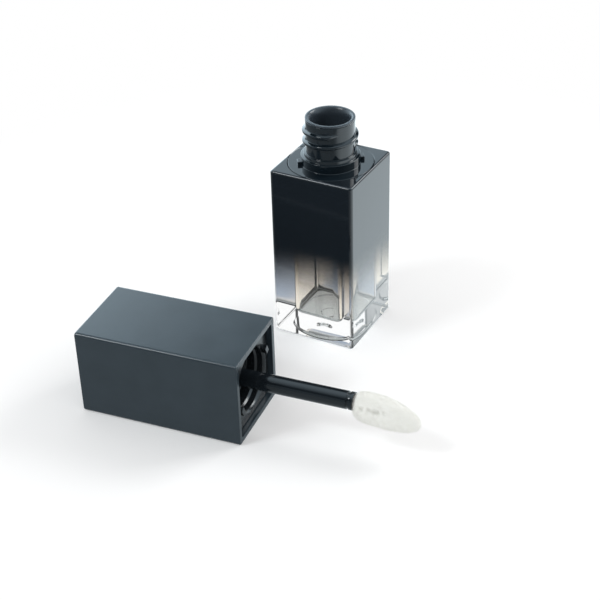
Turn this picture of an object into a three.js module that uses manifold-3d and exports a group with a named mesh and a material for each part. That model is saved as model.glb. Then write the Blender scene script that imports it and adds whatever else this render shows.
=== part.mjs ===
// A square lip-gloss case, opened: the bottle stands upright and the cap, with the applicator fixed
// inside it, lies on one side in front of the bottle.
// Millimetres, +Z up. Origin: on the bottle's axis, in the plane that the bottle stands on.
import * as THREE from 'three';
import { mergeVertices } from 'three/addons/utils/BufferGeometryUtils.js';
import Module from 'manifold-3d';

// Overall sizes
const WIDTH = 20;               // side of the square section, the same on bottle and cap
const BOTTLE_HEIGHT = 41.5;     // base plane to shoulder plane
const CAP_LENGTH = 37;          // rim to closed end

// Bottle
const BOTTLE_EDGE = 0.8;        // round along the upright edges
const BOTTLE_END_ROUND = 0.3;   // round along the top and base edges
const CAVITY_WIDTH = 12.2;      // square bore that holds the gloss
const CAVITY_CORNER = 2;
const CAVITY_FLOOR = 4.5;       // thickness of the clear base
const RECESS_RADIUS = 7.7;      // shallow round recess under the base
const RECESS_DEPTH = 0.5;
const GATE_PAD_RADIUS = 1.8;    // pad left in the middle of the recess, level with the base

// Neck insert
const SHOULDER_MARGIN = 0.5;    // bottle wall left around the round disc at the middle of a side
const DISC_THICKNESS = 1.6;
const DISC_FIT = 0.05;
const SKIRT_DEPTH = 7;          // skirt below the shoulder plane
const SKIRT_FIT = 0.15;
const NECK_RADIUS = 5.5;
const NECK_WALL = 0.8;
const NECK_HEIGHT = 10.35;      // shoulder plane to the neck's rim
const STEP_OUT = 0.45;          // upper step of the neck's foot, beyond the neck
const STEP_TOP = 2.7;
const COLLAR_OUT = 1.1;         // lower step of the neck's foot, beyond the neck
const COLLAR_TOP = 1.95;
const LUG_OUT = 0.85;           // stop lugs, beyond the collar
const LUG_HEIGHT = 0.8;
const LUG_WIDTH = 1.8;
const LUG_ANGLE = 36;           // degrees from +X; the second lug is opposite

// Thread, the same lead on the neck and in the cap
const THREAD_PITCH = 2.45;
const THREAD_DEPTH = 0.7;
const THREAD_ROOT = 1.3;
const THREAD_CREST = 0.55;
const THREAD_START_HEIGHT = 4;  // middle of the thread's start above the shoulder
const THREAD_START_ANGLE = 10;
const THREAD_TURNS = 1.85;
const THREAD_FADE = 0.08;       // part of a turn over which each end sinks into its wall
const THREAD_BED = 0.3;         // how far a thread is rooted in its wall
const CAP_THREAD_ROOT = 0.9;
const CAP_THREAD_CREST = 0.45;
const THREAD_FIT = 0.3;         // radial clearance between crest and root

// Wiper
const WIPER_LIP = 0.45;         // flange that lies on the neck's rim
const WIPER_FIT = 0.1;
const WIPER_WALL = 0.6;
const WIPER_MOUTH = 0.67;       // flange width seen from above
const WIPER_LENGTH = 10.6;
const WIPER_FUNNEL = 2.2;       // height of the cone above the orifice
const ORIFICE_LENGTH = 1.4;
const ORIFICE_FIT = 0.15;

// Cap shell and liner
const CAP_EDGE = 0.7;
const CAP_END_ROUND = 0.35;
const CAP_WALL = 1.3;
const CAP_END_WALL = 1.6;
const CAP_CORNER_INSIDE = 0.4;
const RIM_GAP = 0.15;           // shoulder to cap rim when the case is closed
const LINER_FIT = 0.3;          // gap between pieces that are fixed in the cap
const LINER_RECESS = 1.2;       // liner's face behind the cap's rim
const LINER_PLATE = 1;
const LINER_WALL = 1.1;
const LINER_CEILING = 1.2;
const LINER_CHAMFER = 0.5;
const MOUTH_FIT = 0.3;          // liner's mouth around the neck's collar
const MOUTH_TOP = 3.1;          // height above the shoulder where the mouth ends and the thread starts
const SEAL_GAP = 0.3;           // wiper's lip to the liner's ceiling when closed
const BOSS_HEIGHT = 5.4;
const BOSS_WALL = 1.4;
const RIB_THICKNESS = 1;
const TAB_OUT = 1.2;            // stop tabs on the liner's face
const TAB_HEIGHT = 0.9;
const TAB_ANGLE = 62;

// Wand and applicator
const WAND_RADIUS = 1.95;
const WAND_HUB_RADIUS = 3.4;
const WAND_HUB_HEIGHT = 1;
const WAND_SPIGOT_RADIUS = 2.6;
const WAND_GROOVE_DEPTH = 0.3;
const WAND_GROOVE_WIDTH = 0.5;
const WAND_COLLAR = 0.9;        // length of the ring below the groove
const TIP_CLEARANCE = 0.7;      // applicator's point above the cavity floor when closed
const FLOCK_LENGTH = 14.8;
const FLOCK_HALF_WIDTH = 3.5;
const FLOCK_HALF_THICKNESS = 2.3;
const FLOCK_THICKNESS = 0.7;
const FLOCK_DROP = 0.8;         // sideways offset where the flock starts
const FLOCK_POINT_DROP = 1.3;   // further offset at the point
const FLOCK_BLUNTNESS = 0.6;    // below 1, the start of the leaf is fuller than a ball's
const FLOCK_TURN = 210;         // degrees about the wand from the cap's own +X
const CORE_FIT = 0.3;
const PEG_RADIUS = 1.1;
const PEG_LENGTH = 5;

// Where the cap lies: the middle of its rim, and its heading
const CAP_REST_X = 3.4;
const CAP_REST_Y = -41.5;
const CAP_HEADING = 6.7;

// Fineness
const ROUND_SIDES = 48;
const THREAD_STEPS = 24;        // per turn
const PAST = 1;                 // how far a cutter runs past the face that it opens

// Sizes that follow from the ones above
const discRadius = WIDTH / 2 - SHOULDER_MARGIN;
const boreRadius = NECK_RADIUS - NECK_WALL;
const collarRadius = NECK_RADIUS + COLLAR_OUT;
const wiperRadius = boreRadius - WIPER_FIT;
const wiperTop = NECK_HEIGHT + WIPER_LIP;
const orificeRadius = WAND_RADIUS + ORIFICE_FIT;
const capCavity = WIDTH - 2 * CAP_WALL;
const sleeveRadius = NECK_RADIUS + THREAD_DEPTH + THREAD_FIT;
const mouthRadius = Math.max(collarRadius + MOUTH_FIT, sleeveRadius);
const ceiling = wiperTop + SEAL_GAP - RIM_GAP;
const bossTop = ceiling + LINER_CEILING + BOSS_HEIGHT;
const wandEnd = -(BOTTLE_HEIGHT + RIM_GAP - CAVITY_FLOOR - TIP_CLEARANCE - FLOCK_LENGTH);

const wasm = await Module();
wasm.setup();

// A closed geometry as a solid that can be joined and cut.
function solid(geometry) {
  const bare = geometry.clone();
  bare.deleteAttribute('normal');
  bare.deleteAttribute('uv');
  const merged = mergeVertices(bare, 1e-5);
  const vertProperties = new Float32Array(merged.attributes.position.array);
  const triVerts = new Uint32Array(merged.index.array);
  return new wasm.Manifold(new wasm.Mesh({ numProp: 3, vertProperties, triVerts }));
}

// A named mesh from a solid, with its own finish.
function piece(name, body, color, roughness, metalness = 0) {
  const mesh = body.getMesh();
  const geometry = new THREE.BufferGeometry();
  geometry.setAttribute('position', new THREE.Float32BufferAttribute(mesh.vertProperties, 3));
  geometry.setIndex(new THREE.Uint32BufferAttribute(mesh.triVerts, 1));
  geometry.computeVertexNormals();
  const result = new THREE.Mesh(geometry, new THREE.MeshStandardMaterial({ color, roughness, metalness }));
  result.name = name;
  return result;
}

// Solid turned about Z. The outline is [radius, height] pairs, counter-clockwise with Z up.
function turned(outline, sides = ROUND_SIDES) {
  const points = outline.map(([r, z]) => new THREE.Vector2(r, z));
  const onAxis = outline[0][0] === 0 && outline[outline.length - 1][0] === 0;
  if (!onAxis) points.push(points[0].clone());
  return solid(new THREE.LatheGeometry(points, sides).rotateX(Math.PI / 2));
}

function disc(radius, low, high) {
  return turned([[0, low], [radius, low], [radius, high], [0, high]]);
}

function roundedSquare(width, corner) {
  const half = width / 2;
  const inner = half - corner;
  const shape = new THREE.Shape();
  shape.moveTo(half, -inner);
  shape.lineTo(half, inner);
  shape.absarc(inner, inner, corner, 0, Math.PI / 2);
  shape.absarc(-inner, inner, corner, Math.PI / 2, Math.PI);
  shape.absarc(-inner, -inner, corner, Math.PI, 1.5 * Math.PI);
  shape.absarc(inner, -inner, corner, 1.5 * Math.PI, 2 * Math.PI);
  return shape;
}

// Upright square bar from low to high, with a round of the given size on its end edges.
function squareBar(width, corner, low, high, endRound = 0) {
  const geometry = new THREE.ExtrudeGeometry(roundedSquare(width, corner), {
    depth: high - low - 2 * endRound,
    curveSegments: 2,
    bevelEnabled: endRound > 0,
    bevelThickness: endRound,
    bevelSize: endRound,
    bevelOffset: -endRound,
    bevelSegments: 2,
  });
  return solid(geometry.translate(0, 0, low + endRound));
}

// Box along a ray from the axis: from radius near to radius far, centred on the ray.
function radialBlock(near, far, width, low, high, degrees) {
  const geometry = new THREE.BoxGeometry(far - near, width, high - low);
  geometry.translate((near + far) / 2, 0, (low + high) / 2);
  return solid(geometry.rotateZ(THREE.MathUtils.degToRad(degrees)));
}

// Rising helix about Z. Its section stays upright, and both ends sink by the given depth.
class Helix extends THREE.Curve {
  constructor(radius, low, startDegrees, turns, sink) {
    super();
    Object.assign(this, { radius, low, turns, sink });
    this.start = THREE.MathUtils.degToRad(startDegrees);
  }

  radiusAt(t) {
    const fromEnd = Math.min(t, 1 - t) * this.turns;
    return this.radius + this.sink * (1 - THREE.MathUtils.smoothstep(fromEnd, 0, THREAD_FADE));
  }

  getPoint(t, target = new THREE.Vector3()) {
    const angle = this.start + 2 * Math.PI * this.turns * t;
    const r = this.radiusAt(t);
    return target.set(r * Math.cos(angle), r * Math.sin(angle), this.low + THREAD_PITCH * this.turns * t);
  }

  computeFrenetFrames(steps) {
    const tangents = [];
    const normals = [];
    const binormals = [];
    for (let i = 0; i <= steps; i += 1) {
      const angle = this.start + (2 * Math.PI * this.turns * i) / steps;
      tangents.push(new THREE.Vector3(-Math.sin(angle), Math.cos(angle), 0));
      normals.push(new THREE.Vector3(Math.cos(angle), Math.sin(angle), 0));
      binormals.push(new THREE.Vector3(0, 0, -1));
    }
    return { tangents, normals, binormals };
  }
}

// Thread on a wall of the given radius. A positive height stands out of a neck, a negative one
// stands into a sleeve.
function thread(wallRadius, height, root, crest, low, startDegrees, turns) {
  const side = Math.sign(height);
  const corners = [
    [-side * THREAD_BED, -root / 2],
    [height, -crest / 2],
    [height, crest / 2],
    [-side * THREAD_BED, root / 2],
  ];
  const section = new THREE.Shape(corners.map(([x, y]) => new THREE.Vector2(x, y)));
  const path = new Helix(wallRadius, low, startDegrees, turns, -height);
  const steps = Math.round(THREAD_STEPS * turns);
  return solid(new THREE.ExtrudeGeometry(section, { steps, extrudePath: path, bevelEnabled: false }));
}

function bottleBody() {
  const block = squareBar(WIDTH, BOTTLE_EDGE, 0, BOTTLE_HEIGHT, BOTTLE_END_ROUND);
  const cavity = squareBar(CAVITY_WIDTH, CAVITY_CORNER, CAVITY_FLOOR, BOTTLE_HEIGHT + PAST);
  const seat = disc(discRadius + DISC_FIT, BOTTLE_HEIGHT - DISC_THICKNESS, BOTTLE_HEIGHT + PAST);
  const recess = turned([
    [GATE_PAD_RADIUS, -PAST],
    [RECESS_RADIUS, -PAST],
    [RECESS_RADIUS, RECESS_DEPTH],
    [GATE_PAD_RADIUS, RECESS_DEPTH],
  ]);
  return block.subtract(cavity).subtract(seat).subtract(recess);
}

// Shoulder disc, skirt and threaded neck in one moulding. Heights count from the shoulder plane.
function neckInsert() {
  const skirtRadius = CAVITY_WIDTH / 2 - SKIRT_FIT;
  let body = turned([
    [0, -SKIRT_DEPTH],
    [skirtRadius, -SKIRT_DEPTH],
    [skirtRadius, -DISC_THICKNESS],
    [discRadius, -DISC_THICKNESS],
    [discRadius, 0],
    [collarRadius, 0],
    [collarRadius, COLLAR_TOP],
    [NECK_RADIUS + STEP_OUT, COLLAR_TOP],
    [NECK_RADIUS + STEP_OUT, STEP_TOP],
    [NECK_RADIUS, STEP_TOP],
    [NECK_RADIUS, NECK_HEIGHT],
    [0, NECK_HEIGHT],
  ]);
  body = body.add(thread(NECK_RADIUS, THREAD_DEPTH, THREAD_ROOT, THREAD_CREST,
    THREAD_START_HEIGHT, THREAD_START_ANGLE, THREAD_TURNS));
  for (const opposite of [0, 180]) {
    const far = collarRadius + LUG_OUT;
    body = body.add(radialBlock(NECK_RADIUS, far, LUG_WIDTH, -PAST, LUG_HEIGHT, LUG_ANGLE + opposite));
  }
  return body.subtract(disc(boreRadius, -SKIRT_DEPTH - PAST, NECK_HEIGHT + PAST));
}

// Soft plug in the neck that strips the wand. Its lip lies on the neck's rim.
function wiper() {
  const inside = wiperRadius - WIPER_WALL;
  const bottom = wiperTop - WIPER_LENGTH;
  const funnelLow = bottom + ORIFICE_LENGTH;
  const funnelHigh = funnelLow + WIPER_FUNNEL;
  return turned([
    [orificeRadius, bottom],
    [orificeRadius + WIPER_WALL, bottom],
    [orificeRadius + WIPER_WALL, funnelLow - WIPER_WALL / 2],
    [wiperRadius, funnelHigh - WIPER_WALL / 2],
    [wiperRadius, NECK_HEIGHT],
    [NECK_RADIUS, NECK_HEIGHT],
    [NECK_RADIUS, wiperTop],
    [NECK_RADIUS - WIPER_MOUTH, wiperTop],
    [inside + WIPER_FIT, NECK_HEIGHT],
    [inside, NECK_HEIGHT - WIPER_WALL],
    [inside, funnelHigh],
    [orificeRadius, funnelLow],
  ]);
}

// The cap's pieces are built as they stand when the case is closed, with the rim at height 0 and
// the closed end above it.
function capShell() {
  const block = squareBar(WIDTH, CAP_EDGE, 0, CAP_LENGTH, CAP_END_ROUND);
  return block.subtract(squareBar(capCavity, CAP_CORNER_INSIDE, -PAST, CAP_LENGTH - CAP_END_WALL));
}

// Threaded sleeve with a square face plate, four ribs and the boss that holds the wand.
function capLiner() {
  const mouthTop = MOUTH_TOP - RIM_GAP;
  const outer = mouthRadius + LINER_WALL;
  const bossRadius = WAND_SPIGOT_RADIUS + LINER_FIT + BOSS_WALL;
  const room = capCavity - 2 * LINER_FIT;
  let body = turned([
    [0, LINER_RECESS],
    [outer, LINER_RECESS],
    [outer, ceiling + LINER_CEILING],
    [bossRadius, ceiling + LINER_CEILING],
    [bossRadius, bossTop],
    [0, bossTop],
  ]);
  body = body.add(squareBar(room, CAP_CORNER_INSIDE, LINER_RECESS, LINER_RECESS + LINER_PLATE));
  for (const degrees of [45, 135, 225, 315]) {
    body = body.add(radialBlock(WAND_SPIGOT_RADIUS + LINER_FIT, room, RIB_THICKNESS, LINER_RECESS,
      ceiling + LINER_CEILING, degrees));
  }
  for (const opposite of [0, 180]) {
    body = body.add(radialBlock(mouthRadius, mouthRadius + TAB_OUT, LUG_WIDTH,
      LINER_RECESS - TAB_HEIGHT, LINER_RECESS + LINER_PLATE / 2, TAB_ANGLE + opposite));
  }
  body = body.subtract(turned([
    [0, -PAST],
    [mouthRadius + LINER_CHAMFER, -PAST],
    [mouthRadius + LINER_CHAMFER, LINER_RECESS],
    [mouthRadius, LINER_RECESS + LINER_CHAMFER],
    [mouthRadius, mouthTop],
    [sleeveRadius, mouthTop + (mouthRadius - sleeveRadius)],
    [sleeveRadius, ceiling],
    [WAND_SPIGOT_RADIUS + LINER_FIT, ceiling],
    [WAND_SPIGOT_RADIUS + LINER_FIT, bossTop + PAST],
    [0, bossTop + PAST],
  ]));
  const low = THREAD_START_HEIGHT + THREAD_PITCH / 2 - RIM_GAP;
  body = body.add(thread(sleeveRadius, -THREAD_DEPTH, CAP_THREAD_ROOT, CAP_THREAD_CREST,
    low, THREAD_START_ANGLE, THREAD_TURNS));
  return body.intersect(squareBar(room, CAP_CORNER_INSIDE, LINER_RECESS - TAB_HEIGHT, bossTop));
}

function wand() {
  const hubTop = ceiling - LINER_FIT;
  const hubLow = hubTop - WAND_HUB_HEIGHT;
  const grooveLow = wandEnd + WAND_COLLAR;
  const body = turned([
    [0, wandEnd],
    [WAND_RADIUS, wandEnd],
    [WAND_RADIUS, grooveLow],
    [WAND_RADIUS - WAND_GROOVE_DEPTH, grooveLow],
    [WAND_RADIUS - WAND_GROOVE_DEPTH, grooveLow + WAND_GROOVE_WIDTH],
    [WAND_RADIUS, grooveLow + WAND_GROOVE_WIDTH],
    [WAND_RADIUS, hubLow],
    [WAND_HUB_RADIUS, hubLow],
    [WAND_HUB_RADIUS, hubTop],
    [WAND_SPIGOT_RADIUS, hubTop],
    [WAND_SPIGOT_RADIUS, bossTop],
    [0, bossTop],
  ], ROUND_SIDES / 2);
  return body.subtract(disc(PEG_RADIUS + CORE_FIT, wandEnd - PAST, wandEnd + PEG_LENGTH + CORE_FIT));
}

// Slanted leaf that hangs below the wand, drawn in by the given amount on every side. It starts as
// a ball whose poles lie on the wand's axis, and leans towards +X as it nears its point.
function leaf(inset) {
  const length = FLOCK_LENGTH - 2 * inset;
  const geometry = new THREE.SphereGeometry(1, 20, 14).rotateX(Math.PI / 2);
  const position = geometry.attributes.position;
  for (let i = 0; i < position.count; i += 1) {
    const [x, y, z] = [position.getX(i), position.getY(i), position.getZ(i)];
    const along = (inset + (length * (1 - z)) / 2) / FLOCK_LENGTH;
    const ring = Math.hypot(x, y);
    const blunt = z > 0 && ring > 0 ? ring ** (FLOCK_BLUNTNESS - 1) : 1;
    const fullness = blunt * Math.max(1.06 - 0.36 * along, 0.8);
    const lean = FLOCK_DROP + FLOCK_POINT_DROP * along * along;
    position.setXYZ(i, x * fullness * (FLOCK_HALF_WIDTH - inset) + lean,
      y * fullness * (FLOCK_HALF_THICKNESS - inset), wandEnd - CORE_FIT - along * FLOCK_LENGTH);
  }
  return solid(geometry);
}

const flockTurn = [0, 0, FLOCK_TURN];

function applicatorCore() {
  const peg = disc(PEG_RADIUS, wandEnd - FLOCK_LENGTH / 3, wandEnd + PEG_LENGTH);
  return leaf(FLOCK_THICKNESS + CORE_FIT).add(peg).rotate(flockTurn);
}

function flockTip() {
  const pegWay = disc(PEG_RADIUS + CORE_FIT, wandEnd - FLOCK_LENGTH / 3, wandEnd + PAST);
  return leaf(0).subtract(leaf(FLOCK_THICKNESS)).subtract(pegWay).rotate(flockTurn);
}

const bottle = new THREE.Group();
bottle.add(piece('bottle_body', bottleBody(), 0x1c2428, 0.12));

const neck = new THREE.Group();
neck.position.z = BOTTLE_HEIGHT;
neck.add(piece('neck_insert', neckInsert(), 0x20272b, 0.15));
neck.add(piece('wiper', wiper(), 0x1a2024, 0.35));
bottle.add(neck);

const lying = new THREE.Group();
lying.rotation.y = -Math.PI / 2;
lying.add(piece('cap_shell', capShell(), 0x3c474b, 0.42));
lying.add(piece('cap_liner', capLiner(), 0x14181b, 0.3));
lying.add(piece('wand', wand(), 0x1d2529, 0.22));
lying.add(piece('applicator_core', applicatorCore(), 0xe6e3da, 0.6));
lying.add(piece('flock_tip', flockTip(), 0xf1efe6, 0.95));

const cap = new THREE.Group();
cap.position.set(CAP_REST_X, CAP_REST_Y, WIDTH / 2);
cap.rotation.z = THREE.MathUtils.degToRad(CAP_HEADING);
cap.add(lying);

const lipGlossCase = new THREE.Group();
lipGlossCase.add(bottle, cap);

export default lipGlossCase;
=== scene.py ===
"""A square lip-gloss case, opened: the bottle stands, and the cap with its applicator lies in front."""
import math
import random

import bmesh
import bpy
from mathutils import Matrix, Vector


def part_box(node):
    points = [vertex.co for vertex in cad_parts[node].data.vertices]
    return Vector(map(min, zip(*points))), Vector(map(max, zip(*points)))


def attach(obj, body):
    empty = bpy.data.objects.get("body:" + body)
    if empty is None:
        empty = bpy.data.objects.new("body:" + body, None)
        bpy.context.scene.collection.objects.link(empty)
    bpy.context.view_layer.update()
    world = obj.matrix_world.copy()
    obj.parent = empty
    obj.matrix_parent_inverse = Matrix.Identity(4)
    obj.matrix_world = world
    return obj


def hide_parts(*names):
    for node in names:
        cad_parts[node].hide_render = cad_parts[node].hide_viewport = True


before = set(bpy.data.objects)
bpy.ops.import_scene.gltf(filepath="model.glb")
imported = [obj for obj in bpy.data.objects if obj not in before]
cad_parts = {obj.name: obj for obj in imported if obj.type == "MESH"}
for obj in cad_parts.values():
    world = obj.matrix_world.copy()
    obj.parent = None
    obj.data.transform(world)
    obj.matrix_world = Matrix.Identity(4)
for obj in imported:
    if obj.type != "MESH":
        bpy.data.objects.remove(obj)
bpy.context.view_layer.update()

MM = 0.001

# ---------------------------------------------------------------- sizes, in millimetres
bottle_low, bottle_high = (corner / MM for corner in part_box("bottle_body"))
neck_low, neck_high = (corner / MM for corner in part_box("neck_insert"))
wiper_low, wiper_high = (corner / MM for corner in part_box("wiper"))
shell_low, shell_high = (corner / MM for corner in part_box("cap_shell"))

WIDTH = bottle_high.x - bottle_low.x
SHOULDER = bottle_high.z
BOTTLE_EDGE = 0.8
BOTTLE_BASE_ROUND = 0.45
BOTTLE_TOP_ROUND = 0.5
CAVITY_WIDTH = 12.2
CAVITY_CORNER = 2.0
CAVITY_FLOOR = 4.5
CAVITY_FLOOR_ROUND = 1.4
RECESS_RADIUS = 7.7
RECESS_DEPTH = 0.5
GATE_PAD_RADIUS = 1.8

DISC_RADIUS = neck_high.x
DISC_THICKNESS = 1.6
DISC_FIT = 0.07
SEAM_CHAMFER = 0.15
SKIRT_RADIUS = 5.95
SKIRT_DEPTH = SHOULDER - neck_low.z
NECK_RADIUS = wiper_high.x
NECK_BORE = 4.7
NECK_HEIGHT = neck_high.z - SHOULDER
STEP_RADIUS = 5.95
STEP_TOP = 2.7
COLLAR_RADIUS = 6.6
COLLAR_TOP = 1.95
LUG_FAR = 7.45
LUG_WIDTH = 1.8
LUG_HEIGHT = 0.8
LUG_ANGLE = 36

THREAD_PITCH = 2.45
THREAD_DEPTH = 0.7
THREAD_START_HEIGHT = 4.0
THREAD_START_ANGLE = 10
THREAD_TURNS = 1.85
THREAD_FADE = 0.08   # share of a turn over which each end sinks into the wall
THREAD_BED = 0.3     # how far the ridge's foot reaches into the wall

WIPER_TOP = wiper_high.z - SHOULDER
WIPER_BOTTOM = wiper_low.z - SHOULDER
WIPER_RADIUS = 4.6
WIPER_WALL = 0.6
WIPER_MOUTH = 0.67
WIPER_FUNNEL = 2.2
ORIFICE_RADIUS = 2.1
ORIFICE_LENGTH = 1.4

CAP_HEADING = 6.7
CAP_LENGTH = 37.0
CAP_EDGE = 0.7
CAP_END_ROUND = 0.35
CAP_RIM_ROUND = 0.2
CAP_WALL = 1.3
CAP_END_WALL = 1.6
RIM_GAP = 0.15
LINER_ROOM = WIDTH - 2 * CAP_WALL - 0.6
LINER_RECESS = 1.2
LINER_PLATE = 1.0
MOUTH_RADIUS = 6.9
MOUTH_TOP = 2.95
SLEEVE_RADIUS = 6.5
SLEEVE_OUTSIDE = 8.0
CEILING = 10.95
LINER_TOP = 12.15
BOSS_TOP = 17.55
BOSS_BORE = 2.9
BOSS_RADIUS = 4.3

WAND_RADIUS = 1.95
WAND_END = -21.65
HUB_RADIUS = 3.4
SPIGOT_RADIUS = 2.6
FLOCK_LENGTH = 14.8
FLOCK_START = 0.02
FLOCK_NAP = 0.22
FLOCK_BLUNTNESS = 0.42
FLOCK_POINT = 0.86
FIBRES = 11000
FIBRE_RADIUS = 0.013
FIBRE_LENGTHS = (0.9, 1.5)   # shortest and longest, in naps
FIBRE_LEAN = 0.35            # sideways lean, as a share of the length
FIBRE_SEED = 7
FLOCK_HALF_WIDTH = 3.5
FLOCK_HALF_THICKNESS = 2.3
FLOCK_TURN = 210

ROUND_SIDES = 96
TINY = 1e-6


# ---------------------------------------------------------------- modelling
def take(piece=None):
    """Leaves edit mode and makes a piece the only one selected, or none."""
    if bpy.context.mode != "OBJECT":
        bpy.ops.object.mode_set(mode="OBJECT")
    bpy.ops.object.select_all(action="DESELECT")
    if piece is not None:
        piece.select_set(True)
        bpy.context.view_layer.objects.active = piece
    return piece


def fixed(name=None):
    """Puts the active object's place into its mesh, and names it."""
    bpy.ops.object.transform_apply(location=True, rotation=True, scale=True)
    piece = bpy.context.active_object
    if name:
        piece.name = piece.data.name = name
    return piece


def pick(piece, kind, wanted):
    """In edit mode, selects the vertices, edges or faces that are wanted."""
    bpy.ops.mesh.select_mode(type=kind)
    bpy.ops.mesh.select_all(action="DESELECT")
    shape = bmesh.from_edit_mesh(piece.data)
    for part in {"VERT": shape.verts, "EDGE": shape.edges, "FACE": shape.faces}[kind]:
        if wanted(part):
            part.select_set(True)
    shape.select_flush_mode()
    bmesh.update_edit_mesh(piece.data)


def modified(piece, kind, **settings):
    """Adds a modifier with its settings and applies it."""
    take(piece)
    bpy.ops.object.modifier_add(type=kind)
    modifier = piece.modifiers[-1]
    for setting, value in settings.items():
        setattr(modifier, setting, value)
    bpy.ops.object.modifier_apply(modifier=modifier.name)
    return piece


def rounded(piece, width, segments=3, sharper_than=35):
    """Rounds every edge that is sharper than the angle."""
    return modified(piece, "BEVEL", width=width * MM, segments=segments, limit_method="ANGLE",
                    angle_limit=math.radians(sharper_than), use_clamp_overlap=True)


def combined(piece, tool, operation):
    """Joins, cuts or keeps what is common to a piece and a tool, which is used up."""
    modified(piece, "BOOLEAN", operation=operation, object=tool, solver="MANIFOLD")
    bpy.data.objects.remove(tool)
    return piece


def drawn(name, points):
    """An open line in the XZ plane through points given as (x, z)."""
    take()
    x, z = points[0]
    bpy.ops.mesh.primitive_plane_add(size=MM, location=(x * MM, 0, z * MM))
    piece = fixed(name)
    bpy.ops.object.mode_set(mode="EDIT")
    bpy.ops.mesh.select_mode(type="VERT")
    bpy.ops.mesh.select_all(action="SELECT")
    bpy.ops.mesh.merge(type="CENTER")
    for (x0, z0), (x1, z1) in zip(points, points[1:]):
        step = ((x1 - x0) * MM, 0, (z1 - z0) * MM)
        bpy.ops.mesh.extrude_region_move(TRANSFORM_OT_translate={"value": step})
    return piece


def closed_up(piece):
    """Merges doubles, fills open ends and turns the faces outwards."""
    bpy.ops.mesh.select_all(action="SELECT")
    bpy.ops.mesh.remove_doubles(threshold=TINY)
    bpy.ops.mesh.fill_holes(sides=0)
    bpy.ops.mesh.select_all(action="SELECT")
    bpy.ops.mesh.normals_make_consistent(inside=False)
    bpy.ops.object.mode_set(mode="OBJECT")
    return piece


def turned(name, outline, sides=ROUND_SIDES):
    """A solid turned about Z. An outline of (radius, height) that leaves the axis is closed to a ring."""
    ring = outline[0][0] > 0
    piece = drawn(name, outline + outline[:1] if ring else outline)
    bpy.ops.mesh.select_all(action="SELECT")
    bpy.ops.mesh.spin(steps=sides, angle=2 * math.pi, center=(0, 0, 0), axis=(0, 0, 1))
    return closed_up(piece)


def square_bar(name, width, low, high, corner, corner_steps=8, ends=()):
    """An upright square bar with round corners. Each end is (height, round, steps)."""
    take()
    bpy.ops.mesh.primitive_cube_add(size=1, location=(0, 0, (low + high) / 2 * MM),
                                    scale=(width * MM, width * MM, (high - low) * MM))
    piece = fixed(name)
    bpy.ops.object.mode_set(mode="EDIT")
    pick(piece, "EDGE", lambda edge: abs(edge.verts[0].co.z - edge.verts[1].co.z) > TINY)
    bpy.ops.mesh.bevel(offset=corner * MM, segments=corner_steps, affect="EDGES")
    for height, size, steps in ends:
        pick(piece, "EDGE", lambda edge: all(abs(v.co.z - height * MM) < TINY for v in edge.verts))
        bpy.ops.mesh.bevel(offset=size * MM, segments=steps, affect="EDGES")
    bpy.ops.object.mode_set(mode="OBJECT")
    return piece


def radial_block(name, near, far, width, low, high, degrees, edge=0.0):
    """A block along a ray from the axis, with its upright edges at the far end rounded."""
    take()
    bpy.ops.mesh.primitive_cube_add(size=1, location=((near + far) / 2 * MM, 0, (low + high) / 2 * MM),
                                    scale=((far - near) * MM, width * MM, (high - low) * MM))
    piece = fixed(name)
    if edge:
        rounded(piece, edge)
    take(piece)
    piece.rotation_euler.z = math.radians(degrees)
    return fixed(name)


def thread(name, wall, side, half_root, half_crest, low):
    """A thread ridge on a wall. Side 1 stands out of a neck, side -1 into a sleeve."""
    bed, depth = -THREAD_BED * side, THREAD_DEPTH * side
    rise = half_root - half_crest
    lower = [(bed, -half_root - 0.1), (0.02 * side, -half_root - 0.06),
             (depth * 0.16, -half_root + rise * 0.30), (depth * 0.55, -half_root + rise * 0.62),
             (depth * 0.86, -half_crest - rise * 0.10), (depth * 0.97, -half_crest + 0.04),
             (depth, -half_crest + 0.12)]
    section = lower + [(x, -z) for x, z in reversed(lower)] + lower[:1]
    piece = drawn(name, [(wall + x, low + z) for x, z in section])
    bpy.ops.object.mode_set(mode="OBJECT")
    count = len(section)
    steps = round(ROUND_SIDES * THREAD_TURNS)
    modified(piece, "SCREW", angle=2 * math.pi * THREAD_TURNS,
             screw_offset=THREAD_PITCH * THREAD_TURNS * MM, steps=steps, render_steps=steps,
             use_merge_vertices=False, use_smooth_shade=False)
    rings = len(piece.data.vertices) // count
    turn_per_ring = THREAD_TURNS / (rings - 1)
    bpy.ops.object.mode_set(mode="EDIT")
    for ring in range(rings):
        from_end = min(ring, rings - 1 - ring) * turn_per_ring
        if from_end >= THREAD_FADE:
            continue
        share = from_end / THREAD_FADE
        sink = -depth * (1 - share * share * (3 - 2 * share))
        turn = 2 * math.pi * turn_per_ring * ring
        pick(piece, "VERT", lambda vert: vert.index // count == ring)
        bpy.ops.transform.translate(value=(sink * math.cos(turn) * MM, sink * math.sin(turn) * MM, 0))
    bpy.ops.mesh.select_all(action="SELECT")
    closed_up(piece)
    take(piece)
    piece.rotation_euler.z = math.radians(THREAD_START_ANGLE)
    return fixed(name)


def polished(piece, smooth_below=35):
    """Smooth shading that keeps the flat faces flat and the sharp edges sharp."""
    take(piece)
    bpy.ops.object.shade_smooth_by_angle(angle=math.radians(smooth_below))
    return modified(piece, "WEIGHTED_NORMAL", keep_sharp=True, weight=50)


def raised(piece, height):
    """Moves a piece up, its place kept in its mesh."""
    take(piece)
    piece.location.z = height * MM
    return fixed()


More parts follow.
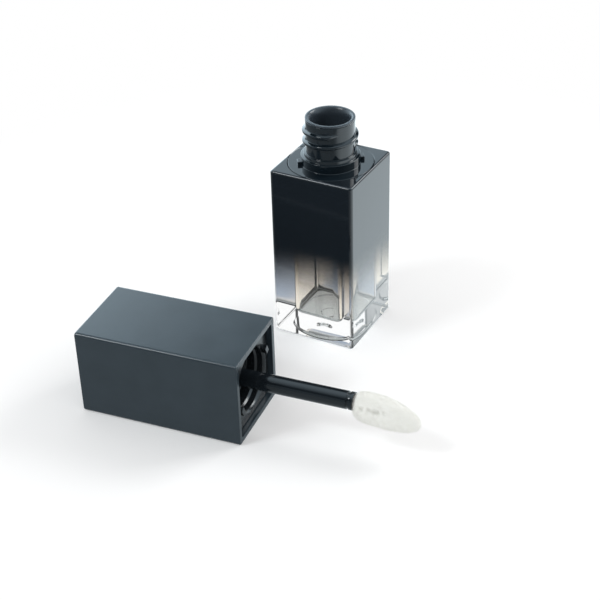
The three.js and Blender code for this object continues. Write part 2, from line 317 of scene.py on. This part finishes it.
# ---------------------------------------------------------------- shader expressions
class Shade:
    """One output of a shader node. Arithmetic on it adds the Math nodes that it needs."""

    def __init__(self, finish, socket):
        self.finish = finish
        self.socket = socket

    def maths(self, operation, *values):
        return self.finish.node("ShaderNodeMath", {"operation": operation}, dict(enumerate(values)))

    def __add__(self, other):
        return self.maths("ADD", self, other)

    def __sub__(self, other):
        return self.maths("SUBTRACT", self, other)

    def __rsub__(self, other):
        return self.maths("SUBTRACT", other, self)

    def __mul__(self, other):
        return self.maths("MULTIPLY", self, other)

    __radd__ = __add__


class Finish:
    """A node material, or the world, built up from expressions."""

    def __init__(self, name, owner=None):
        self.owner = owner or bpy.data.materials.new(name)
        self.owner.use_nodes = True
        self.tree = self.owner.node_tree
        self.tree.nodes.clear()

    def node(self, kind, settings=None, inputs=None, output=0):
        """Adds a node, sets its settings first and then its sockets, and gives one of its outputs."""
        made = self.tree.nodes.new(kind)
        for setting, value in (settings or {}).items():
            setattr(made, setting, value)
        for key, value in (inputs or {}).items():
            socket = made.inputs[key]
            if isinstance(value, Shade):
                self.tree.links.new(value.socket, socket)
            elif hasattr(socket.default_value, "__len__") and len(value) == 3 and socket.type == "RGBA":
                socket.default_value = (*value, 1)
            else:
                socket.default_value = value
        return Shade(self, made.outputs[output]) if made.outputs else None

    def place(self, scale=(1, 1, 1)):
        """The piece's own coordinates in metres, stretched."""
        here = self.node("ShaderNodeTexCoord", output="Object")
        return self.node("ShaderNodeMapping", {}, {"Vector": here, "Scale": scale})

    def noise(self, size, detail=3.0, rough=0.5, where=None):
        """Noise from 0 to 1 whose patches are about size millimetres across."""
        settings = {"noise_dimensions": "3D"}
        inputs = {"Vector": where or self.place(), "Scale": 1 / (size * MM), "Detail": detail,
                  "Roughness": rough}
        return self.node("ShaderNodeTexNoise", settings, inputs)

    def step(self, value, low, high, to_low=0.0, to_high=1.0):
        """Eases from one value to another while the input goes from low to high."""
        inputs = {"Value": value, "From Min": low, "From Max": high, "To Min": to_low, "To Max": to_high}
        return self.node("ShaderNodeMapRange", {"interpolation_type": "SMOOTHSTEP"}, inputs)

    def blend(self, share, first, second):
        """A colour between two colours."""
        return self.node("ShaderNodeMix", {"data_type": "RGBA"}, {0: share, 6: first, 7: second}, 2)

    def bump(self, height, depth):
        """A normal from a height between 0 and 1, for a relief of depth millimetres."""
        return self.node("ShaderNodeBump", {}, {"Height": height, "Distance": depth * MM, "Strength": 1.0})

    def plastic(self, **inputs):
        sockets = {name.replace("_", " "): value for name, value in inputs.items()}
        return self.node("ShaderNodeBsdfPrincipled", {}, sockets)

    def mixed(self, share, first, second):
        return self.node("ShaderNodeMixShader", {}, {0: share, 1: first, 2: second})

    def done(self, surface):
        world = isinstance(self.owner, bpy.types.World)
        self.node("ShaderNodeOutputWorld" if world else "ShaderNodeOutputMaterial", {}, {"Surface": surface})
        return self.owner


# ---------------------------------------------------------------- finishes
FADE_LOW = 8.0       # height where the lacquer has thinned out to clear plastic
FADE_HIGH = 24.0     # height above which it covers fully
CLEAR_IOR = 1.5
CLEAR_TINT = (0.985, 0.99, 0.99)


def clear_side(finish, tint):
    """Clear plastic that lets the lamps' light through, so that its shadow stays pale."""
    clear = finish.plastic(Base_Color=tint, Roughness=0.0, IOR=CLEAR_IOR, Transmission_Weight=1.0)
    lamp_ray = finish.node("ShaderNodeLightPath", output="Is Shadow Ray")
    open_way = finish.node("ShaderNodeBsdfTransparent", {}, {"Color": (0.93, 0.94, 0.95)})
    return finish.mixed(lamp_ray, clear, open_way)


def lacquered_clear_plastic():
    finish = Finish("lacquered_clear_plastic")
    height = finish.node("ShaderNodeSeparateXYZ", {}, {0: finish.place()}, "Z")
    drift = finish.noise(9, detail=1.0)
    spray = finish.noise(0.22, detail=2.0, rough=0.7)
    level = height * (1 / MM) + (drift - 0.5) * 1.6 + (spray - 0.5) * 3.0
    cover = finish.step(level, FADE_LOW, FADE_HIGH)
    warmth = finish.step(level, FADE_LOW - 2, FADE_HIGH - 7)
    # Painted contact shadow: over the lowest 0.6 mm, darkest below 0.25 mm, the clear plastic's tint turns
    # dark grey, standing in for the shade where the base meets the floor.
    painted_contact_shade = finish.step(height * (1 / MM), 0.25, 0.6)
    clear = finish.blend(painted_contact_shade, (0.50, 0.53, 0.54), CLEAR_TINT)
    tint = finish.blend(warmth, clear, (0.86, 0.79, 0.71))
    peel = finish.bump(finish.noise(1.4, detail=1.0), 0.0006)
    lacquer = finish.plastic(Base_Color=(0.0080, 0.0115, 0.0155), Roughness=0.06 + spray * 0.03,
                             IOR=1.5, Normal=peel)
    return finish.done(finish.mixed(cover, clear_side(finish, tint), lacquer))


def clear_plastic():
    finish = Finish("clear_plastic")
    return finish.done(clear_side(finish, CLEAR_TINT))


def moulded(name, colour, roughness, variation, grain=0.0, grain_size=0.3, stretch=(1, 1, 1)):
    """Injection-moulded black plastic: slightly uneven gloss, faint flow marks and a fine grain."""
    finish = Finish(name)
    where = finish.place(scale=stretch)
    flow = finish.noise(6, detail=2.0, where=where)
    fine = finish.noise(grain_size, detail=2.0, rough=0.6, where=where)
    tone = finish.blend(flow, colour, tuple(c * 1.35 for c in colour))
    gloss = roughness + (flow - 0.5) * variation + (fine - 0.5) * variation
    surface = {"Base_Color": tone, "Roughness": gloss, "IOR": 1.5}
    if grain:
        surface["Normal"] = finish.bump(fine, grain)
    return finish.done(finish.plastic(**surface))


def white_flock():
    finish = Finish("white_flock")
    tufts = finish.noise(0.7, detail=3.0, rough=0.6)
    fibres = finish.noise(0.12, detail=2.0, rough=0.8)
    tone = finish.blend(tufts, (0.85, 0.85, 0.805), (0.94, 0.945, 0.915))
    nap = finish.bump(tufts * 0.5 + fibres * 0.5, 0.12)
    # The faint emission in the flock's own tone is a painted glow, standing in for light scattered through
    # the fibres.
    surface = finish.plastic(Base_Color=tone, Roughness=0.95, Sheen_Weight=0.4, Sheen_Roughness=0.4,
                             Specular_IOR_Level=0.1, Emission_Color=tone, Emission_Strength=0.05,
                             Normal=nap)
    return finish.done(surface)


def core_plastic():
    finish = Finish("core_plastic")
    flow = finish.noise(3, detail=2.0)
    tone = finish.blend(flow, (0.74, 0.72, 0.68), (0.82, 0.80, 0.76))
    return finish.done(finish.plastic(Base_Color=tone, Roughness=0.4 + flow * 0.1))


# ---------------------------------------------------------------- bottle
def bottle_piece():
    block = square_bar("bottle", WIDTH, 0, SHOULDER, BOTTLE_EDGE, 8,
                       [(SHOULDER, BOTTLE_TOP_ROUND, 5), (0, BOTTLE_BASE_ROUND, 5)])
    cavity = square_bar("cavity", CAVITY_WIDTH, CAVITY_FLOOR, SHOULDER + 1, CAVITY_CORNER, 10,
                        [(CAVITY_FLOOR, CAVITY_FLOOR_ROUND, 8)])
    seat_radius = DISC_RADIUS + DISC_FIT
    seat = turned("seat", [
        (0, SHOULDER - DISC_THICKNESS),
        (seat_radius, SHOULDER - DISC_THICKNESS),
        (seat_radius, SHOULDER - SEAM_CHAMFER),
        (seat_radius + 2 * SEAM_CHAMFER, SHOULDER + SEAM_CHAMFER),
        (0, SHOULDER + SEAM_CHAMFER),
    ], 128)
    recess = turned("recess", [
        (GATE_PAD_RADIUS, -1), (RECESS_RADIUS + 0.4, -1), (RECESS_RADIUS + 0.15, 0.02),
        (RECESS_RADIUS, 0.2), (RECESS_RADIUS - 0.1, RECESS_DEPTH - 0.12),
        (RECESS_RADIUS - 0.3, RECESS_DEPTH), (GATE_PAD_RADIUS + 0.25, RECESS_DEPTH),
        (GATE_PAD_RADIUS, RECESS_DEPTH - 0.2),
    ], 96)
    for tool in (cavity, seat, recess):
        combined(block, tool, "DIFFERENCE")
    block.data.materials.clear()
    block.data.materials.append(LACQUERED)
    block.data.materials.append(CLEAR)
    take(block)
    bpy.ops.object.mode_set(mode="EDIT")
    inside = (WIDTH / 2 - BOTTLE_EDGE) * MM
    top = (SHOULDER - BOTTLE_TOP_ROUND / 2) * MM

    def unpainted(face):
        middle = face.calc_center_median()
        outermost = max(abs(middle.x), abs(middle.y))
        return (outermost < inside and middle.z < top) or face.normal.z < -0.9

    pick(block, "FACE", unpainted)
    block.active_material_index = 1
    bpy.ops.object.material_slot_assign()
    bpy.ops.object.mode_set(mode="OBJECT")
    return polished(block, 32)


def neck_piece():
    """Shoulder disc, skirt and threaded neck, with heights counted from the shoulder."""
    body = turned("neck", [
        (NECK_BORE, -SKIRT_DEPTH),
        (SKIRT_RADIUS, -SKIRT_DEPTH),
        (SKIRT_RADIUS, -DISC_THICKNESS),
        (DISC_RADIUS, -DISC_THICKNESS),
        (DISC_RADIUS, 0),
        (COLLAR_RADIUS, 0),
        (COLLAR_RADIUS, COLLAR_TOP),
        (STEP_RADIUS, COLLAR_TOP),
        (STEP_RADIUS, STEP_TOP),
        (NECK_RADIUS, STEP_TOP),
        (NECK_RADIUS, NECK_HEIGHT),
        (NECK_BORE, NECK_HEIGHT),
    ], 128)
    rounded(body, 0.12)
    for opposite in (0, 180):
        lug = radial_block("lug", NECK_RADIUS, LUG_FAR, LUG_WIDTH, -1, LUG_HEIGHT,
                           LUG_ANGLE + opposite, 0.15)
        combined(body, lug, "UNION")
    ridge = thread("ridge", NECK_RADIUS, 1, 0.65, 0.275, THREAD_START_HEIGHT)
    combined(body, ridge, "UNION")
    return polished(raised(body, SHOULDER))


def wiper_piece():
    inside = WIPER_RADIUS - WIPER_WALL
    funnel_low = WIPER_BOTTOM + ORIFICE_LENGTH
    funnel_high = funnel_low + WIPER_FUNNEL
    body = turned("wiper_sleeve", [
        (ORIFICE_RADIUS, WIPER_BOTTOM),
        (ORIFICE_RADIUS + WIPER_WALL, WIPER_BOTTOM),
        (ORIFICE_RADIUS + WIPER_WALL, funnel_low - WIPER_WALL / 2),
        (WIPER_RADIUS, funnel_high - WIPER_WALL / 2),
        (WIPER_RADIUS, NECK_HEIGHT),
        (NECK_RADIUS, NECK_HEIGHT),
        (NECK_RADIUS, WIPER_TOP),
        (NECK_RADIUS - WIPER_MOUTH, WIPER_TOP),
        (NECK_RADIUS - WIPER_MOUTH - 0.42, NECK_HEIGHT - 0.1),
        (inside + 0.15, NECK_HEIGHT - 1.2),
        (inside, funnel_high),
        (ORIFICE_RADIUS, funnel_low),
    ], 128)
    rounded(body, 0.13, 4)
    return polished(raised(body, SHOULDER))


# ---------------------------------------------------------------- cap
shell_middle = (shell_low + shell_high) / 2
heading = math.radians(CAP_HEADING)
rim_middle = shell_middle + Vector((math.cos(heading), math.sin(heading), 0)) * (CAP_LENGTH / 2)
CAP_PLACE = (Matrix.Translation(rim_middle * MM) @ Matrix.Rotation(heading, 4, "Z")
             @ Matrix.Rotation(-math.pi / 2, 4, "Y"))


def laid_down(piece):
    """Turns a piece made upright, rim down at height 0, to where the cap lies."""
    take(piece)
    piece.matrix_world = CAP_PLACE
    return fixed()


def shell_piece():
    block = square_bar("cap", WIDTH, 0, CAP_LENGTH, CAP_EDGE, 8,
                       [(CAP_LENGTH, CAP_END_ROUND, 5), (0, CAP_RIM_ROUND, 3)])
    room = WIDTH - 2 * CAP_WALL
    hollow = square_bar("hollow", room, -1, CAP_LENGTH - CAP_END_WALL, 0.4, 5,
                        [(CAP_LENGTH - CAP_END_WALL, 0.4, 3)])
    combined(block, hollow, "DIFFERENCE")
    take(block)
    bpy.ops.object.mode_set(mode="EDIT")
    pick(block, "EDGE", lambda edge: all(
        abs(v.co.z) < TINY and max(abs(v.co.x), abs(v.co.y)) < (room / 2 + 0.05) * MM for v in edge.verts))
    bpy.ops.mesh.bevel(offset=0.2 * MM, segments=2, affect="EDGES")
    bpy.ops.object.mode_set(mode="OBJECT")
    return polished(laid_down(block))


def liner_piece():
    """Threaded sleeve with its square face plate, ribs and the boss that holds the wand."""
    body = turned("liner", [
        (MOUTH_RADIUS + 0.5, LINER_RECESS),
        (SLEEVE_OUTSIDE, LINER_RECESS),
        (SLEEVE_OUTSIDE, LINER_TOP),
        (BOSS_RADIUS, LINER_TOP),
        (BOSS_RADIUS, BOSS_TOP),
        (BOSS_BORE, BOSS_TOP),
        (BOSS_BORE, CEILING),
        (SLEEVE_RADIUS, CEILING),
        (SLEEVE_RADIUS, MOUTH_TOP + 0.4),
        (MOUTH_RADIUS, MOUTH_TOP),
        (MOUTH_RADIUS, LINER_RECESS + 0.5),
    ], 128)
    rounded(body, 0.08, 2)
    plate = square_bar("plate", LINER_ROOM, LINER_RECESS, LINER_RECESS + LINER_PLATE, 0.4, 4)
    hole = turned("hole", [(0, -1), (SLEEVE_OUTSIDE - 0.3, -1), (SLEEVE_OUTSIDE - 0.3, 4), (0, 4)], 128)
    combined(plate, hole, "DIFFERENCE")
    combined(body, plate, "UNION")
    for degrees in (45, 135, 225, 315):
        rib = radial_block("rib", SLEEVE_OUTSIDE - 0.25, LINER_ROOM / 2 * 1.33, 1.0, LINER_RECESS + 0.3,
                           LINER_TOP - 0.3, degrees)
        combined(body, rib, "UNION")
    for opposite in (0, 180):
        tab = radial_block("tab", MOUTH_RADIUS, MOUTH_RADIUS + 1.2, LUG_WIDTH, LINER_RECESS - 0.9,
                           LINER_RECESS + 0.5, 62 + opposite, 0.12)
        combined(body, tab, "UNION")
    ridge = thread("cap_ridge", SLEEVE_RADIUS, -1, 0.45, 0.225,
                   THREAD_START_HEIGHT + THREAD_PITCH / 2 - RIM_GAP)
    combined(body, ridge, "UNION")
    return polished(laid_down(body))


def wand_piece():
    hub_top = CEILING - 0.3
    hub_low = hub_top - 1.0
    groove_low = WAND_END + 0.9
    body = turned("rod", [
        (0, WAND_END),
        (WAND_RADIUS, WAND_END),
        (WAND_RADIUS, groove_low),
        (WAND_RADIUS - 0.3, groove_low),
        (WAND_RADIUS - 0.3, groove_low + 0.5),
        (WAND_RADIUS, groove_low + 0.5),
        (WAND_RADIUS, hub_low),
        (HUB_RADIUS, hub_low),
        (HUB_RADIUS, hub_top),
        (SPIGOT_RADIUS, hub_top),
        (SPIGOT_RADIUS, BOSS_TOP),
        (0, BOSS_TOP),
    ])
    socket = turned("peg_hole", [(0, WAND_END - 1), (1.4, WAND_END - 1), (1.4, WAND_END + 5.3),
                                 (0, WAND_END + 5.3)], 48)
    combined(body, socket, "DIFFERENCE")
    rounded(body, 0.12)
    return polished(laid_down(body))


def flock_piece():
    """The slanted leaf under the nap, shaped ring by ring from a ball, with a shallow crease."""
    take()
    bpy.ops.mesh.primitive_uv_sphere_add(segments=72, ring_count=56, radius=MM, location=(0, 0, 0))
    body = fixed("flock")
    bpy.ops.object.mode_set(mode="EDIT")
    bpy.ops.mesh.select_mode(type="VERT")
    start = WAND_END - FLOCK_START
    length = FLOCK_LENGTH - FLOCK_NAP * 1.8
    rings = {}
    for vert in bmesh.from_edit_mesh(body.data).verts:
        rings.setdefault(round(vert.co.z / MM, 4), set()).add(vert.index)
    for z, members in rings.items():
        along = (1 - z) / 2
        ring = math.sqrt(max(1 - z * z, 0))
        blunt = max(ring, 0.001) ** ((FLOCK_BLUNTNESS if z > 0 else FLOCK_POINT) - 1)
        full = blunt * (1.10 - 0.30 * along)
        lean = 0.8 * along ** 0.15 + 1.3 * along * along
        pick(body, "VERT", lambda vert: vert.index in members)
        bpy.ops.transform.resize(
            value=(full * (FLOCK_HALF_WIDTH - FLOCK_NAP), full * (FLOCK_HALF_THICKNESS - FLOCK_NAP), 1),
            center_override=(0, 0, z * MM))
        bpy.ops.transform.translate(value=(lean * MM, 0, (start - along * length - z) * MM))
    for along, depth in ((0.15, 0.5), (0.25, 0.45), (0.32, 0.75), (0.39, 0.6), (0.46, 0.3)):
        spot = Vector((1.1, FLOCK_HALF_THICKNESS, start - along * length)) * MM
        nearest = min(bmesh.from_edit_mesh(body.data).verts, key=lambda vert: (vert.co - spot).length).index
        pick(body, "VERT", lambda vert: vert.index == nearest)
        bpy.ops.transform.translate(value=(0, -depth * MM, 0), use_proportional_edit=True,
                                    proportional_edit_falloff="SMOOTH", proportional_size=0.9 * MM)
    bpy.ops.object.mode_set(mode="OBJECT")
    take(body)
    body.rotation_euler.z = math.radians(FLOCK_TURN)
    fixed()
    return polished(laid_down(body), 180)


def nap_piece(body):
    """Short fibres that stand on the leaf, fine square rods placed by a seeded draw.

    Operators may leave a mesh's faces in another order each run, so they are sorted first.
    """
    spots = body.data.vertices
    corners = []
    for face in body.data.polygons:
        loop = list(face.vertices)
        first = loop.index(min(loop))
        corners.append(loop[first:] + loop[:first])
    triangles = [(spots[loop[0]].co, spots[loop[i]].co, spots[loop[i + 1]].co)
                 for loop in sorted(corners) for i in range(1, len(loop) - 1)]
    areas = [(b - a).cross(c - a).length for a, b, c in triangles]
    draw = random.Random(FIBRE_SEED)
    rods = bpy.data.curves.new("nap", "CURVE")
    rods.dimensions = "3D"
    rods.bevel_depth = FIBRE_RADIUS * MM
    rods.bevel_resolution = 0
    for a, b, c in draw.choices(triangles, weights=areas, k=FIBRES):
        s, t = draw.random(), draw.random()
        if s + t > 1:
            s, t = 1 - s, 1 - t
        root = a + (b - a) * s + (c - a) * t
        lean = Vector([draw.uniform(-FIBRE_LEAN, FIBRE_LEAN) for _ in range(3)])
        length = FLOCK_NAP * draw.uniform(*FIBRE_LENGTHS) * MM
        rod = rods.splines.new("POLY")
        rod.points.add(1)
        rod.points[0].co = (*root, 1)
        rod.points[1].co = (*(root + ((b - a).cross(c - a).normalized() + lean) * length), 1)
    nap = bpy.data.objects.new("nap", rods)
    bpy.context.collection.objects.link(nap)
    take(nap)
    bpy.ops.object.convert(target="MESH")
    nap = fixed("nap")
    bpy.ops.object.mode_set(mode="EDIT")
    bpy.ops.mesh.select_all(action="SELECT")
    bpy.ops.mesh.fill_holes(sides=4)
    bpy.ops.mesh.select_all(action="SELECT")
    bpy.ops.mesh.normals_make_consistent(inside=False)
    bpy.ops.object.mode_set(mode="OBJECT")
    return nap


# ---------------------------------------------------------------- studio
COOL = (0.84, 0.95, 1.0)
# Where the floor, seen through the clear plastic, is painted with shadow: grey under the cavity, a darker
# ring under the rest of the base. Squares of x or y, in square metres.
CAVITY_PRINT = (8.2e-5, 9.2e-5)
BASE_PRINT = (11e-5, 13e-5)


def ray_kinds(finish):
    """What kind of ray meets a surface: seen directly, mirrored, or seen through clear plastic."""
    direct, glossy, through = (finish.node("ShaderNodeLightPath", output=name)
                               for name in ("Is Camera Ray", "Is Glossy Ray", "Is Transmission Ray"))
    return direct, glossy * (1 - through), through


def studio():
    """White floor and walls. What the gloss mirrors is bright behind and at the right, dim in front."""
    take()
    bpy.ops.mesh.primitive_plane_add(size=3.0, location=(0, 0, -0.03 * MM))
    floor = fixed("floor")
    finish = Finish("studio_floor")
    direct, mirrored, through = ray_kinds(finish)
    x = finish.node("ShaderNodeSeparateXYZ", {}, {0: finish.place()}, "X")
    y = finish.node("ShaderNodeSeparateXYZ", {}, {0: finish.place()}, "Y")
    white = finish.node("ShaderNodeEmission", {}, {"Color": (1, 1, 1), "Strength": 1.0})
    matt = finish.node("ShaderNodeBsdfDiffuse", {}, {"Color": (0.94, 0.94, 0.94)})
    # Seen through the clear plastic, the floor shows painted light and shade instead of lamplight: a painted
    # shadow under the base with a darker painted contact ring at its edge, and elsewhere a painted warm glow
    # that turns cool and dim behind the bottle.
    inside = finish.step(x * x, *CAVITY_PRINT, 1, 0) * finish.step(y * y, *CAVITY_PRINT, 1, 0)
    under = finish.step(x * x, *BASE_PRINT, 1, 0) * finish.step(y * y, *BASE_PRINT, 1, 0)
    behind = (finish.step(y, 0.009, 0.013) * finish.step(x, -0.014, -0.004)
              * finish.step(x, 0.006, 0.012, 1, 0))
    warm = finish.blend(finish.step(y, 0.004, 0.012), (0.95, 0.88, 0.75), (0.78, 0.72, 0.64))
    beside = finish.blend(behind, warm, (0.22, 0.29, 0.40))
    painted_floor_shade = finish.node("ShaderNodeEmission", {}, {
        "Color": finish.blend(under, beside, finish.blend(inside, (0.07, 0.08, 0.08), (0.29, 0.31, 0.30))),
        "Strength": 1.0})
    far = finish.step(x * x + y * y, 0.004, 0.02, 0.15, 1)
    plain = finish.mixed(through * 0.8, finish.mixed(direct * far, matt, white), painted_floor_shade)
    # Painted reflection: for mirrored rays the floor glows, dim in front and at the left, bright behind and
    # at the right, to put a sheen on the gloss that no lamp gives.
    painted_reflection_level = finish.step(y + x * 0.6, -0.045, 0.04, 0.42, 2.1)
    glow = finish.node("ShaderNodeEmission", {}, {"Color": COOL, "Strength": painted_reflection_level})
    floor.data.materials.append(finish.done(finish.mixed(mirrored, plain, glow)))

    world = bpy.data.worlds.new("studio")
    bpy.context.scene.world = world
    sky = Finish("studio", world)
    direct, mirrored, through = ray_kinds(sky)
    way = sky.node("ShaderNodeTexCoord", output="Generated")
    x, y, z = (sky.node("ShaderNodeSeparateXYZ", {}, {0: way}, axis) for axis in "XYZ")
    gap = sky.step(z + x * 0.5, 0.29, 0.34) * sky.step(z + x * 0.5, 0.5, 0.7, 1, 0)
    bright = sky.step(y + z * 0.5, -0.5, 0.6, 0.3, 1.7) * sky.step(x, -0.6, -0.42, 2.4, 1) * (1 - gap)
    panel = (sky.step(x * x, 0.2, 0.5, 1, 0.15) * sky.step(z, 0.05, 0.42, 0.5, 1)
             * sky.step(z, 0.62, 0.85, 1, 0.3))
    beyond = sky.step(y + z * 0.3, -0.8, 0.6, 0.35, 1.05) * panel
    plain = (1 - mirrored) * (1 - through) * (0.74 + direct * 0.26)
    level = mirrored * bright + through * beyond + plain
    tone = sky.blend(mirrored, (1, 1, 1), (0.72, 0.89, 1.0))
    sky.done(sky.node("ShaderNodeBackground", {}, {"Color": tone, "Strength": level}))

    for name, place, size, power, colour in (
        ("key", (0.33, 0.44, 0.42), 0.30, 2.3, (1, 1, 1)),
        ("edge_light", (-0.25, -0.33, 0.45), 0.14, 0.9, (0.91, 0.97, 1.0)),
    ):
        take()
        bpy.ops.object.light_add(type="AREA", location=place)
        lamp = bpy.context.active_object
        lamp.name = name
        lamp.data.shape = "SQUARE"
        lamp.data.size = size
        lamp.data.energy = power
        lamp.data.color = colour
        lamp.visible_transmission = False
        aim = Vector((0, -0.02, 0.02))
        lamp.rotation_euler = (Vector(place) - aim).to_track_quat("Z", "Y").to_euler()


def camera():
    """Looks down from the front right, turned a little about its own axis."""
    azimuth, elevation, roll = (math.radians(a) for a in (29.0, 32.86, -1.69))
    aim, distance = Vector((-0.0030, -0.0104, 0.0102)), 0.320
    back = Vector((math.sin(azimuth) * math.cos(elevation), -math.cos(azimuth) * math.cos(elevation),
                   math.sin(elevation)))
    level = Vector((math.cos(azimuth), math.sin(azimuth), 0))
    right = level * math.cos(roll) + back.cross(level) * math.sin(roll)
    up = back.cross(right)
    take()
    bpy.ops.object.camera_add(location=aim + back * distance)
    eye = bpy.context.active_object
    eye.rotation_euler = Matrix((right, up, back)).transposed().to_euler()
    eye.data.lens = 84.35
    eye.data.sensor_width = 36.0
    eye.data.clip_start = 0.01
    bpy.context.scene.camera = eye


# ---------------------------------------------------------------- assembly
LACQUERED = lacquered_clear_plastic()
CLEAR = clear_plastic()
NECK_BLACK = moulded("neck_plastic", (0.0048, 0.0085, 0.0120), 0.07, 0.04)
WIPER_BLACK = moulded("wiper_plastic", (0.024, 0.032, 0.041), 0.30, 0.10, grain=0.004)
CAP_SATIN = moulded("cap_satin_plastic", (0.0205, 0.030, 0.038), 0.22, 0.06, grain=0.0015, grain_size=0.12)
LINER_BLACK = moulded("liner_plastic", (0.008, 0.010, 0.012), 0.22, 0.08)
WAND_BLACK = moulded("wand_plastic", (0.008, 0.011, 0.014), 0.07, 0.03, stretch=(0.25, 1, 1))
FLOCK = white_flock()
CORE = core_plastic()

for make, name, body, node, slot, material in (
    (bottle_piece, "bottle_walls", "bottle", "bottle_body", "lacquered_clear_plastic", None),
    (neck_piece, "threaded_neck", "bottle", "neck_insert", "neck_plastic", NECK_BLACK),
    (wiper_piece, "wiper_plug", "wiper", "wiper", "wiper_plastic", WIPER_BLACK),
    (shell_piece, "cap_sleeve", "cap", "cap_shell", "cap_satin_plastic", CAP_SATIN),
    (liner_piece, "cap_inner", "cap", "cap_liner", "liner_plastic", LINER_BLACK),
    (wand_piece, "applicator_wand", "cap", "wand", "wand_plastic", WAND_BLACK),
    (flock_piece, "flocked_tip", "cap", "flock_tip", "white_flock", FLOCK),
):
    piece = make()
    piece.name = piece.data.name = name
    if material is not None:
        piece.data.materials.clear()
        piece.data.materials.append(material)
    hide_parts(node)
    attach(piece, body)

nap = nap_piece(piece)
nap.name = nap.data.name = "flock_fibres"
nap.data.materials.clear()
nap.data.materials.append(FLOCK)
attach(nap, "cap")

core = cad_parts["applicator_core"]
core.material_slots[0].material = CORE

studio()
camera()
take()
bpy.context.scene.view_settings.view_transform = "Standard"
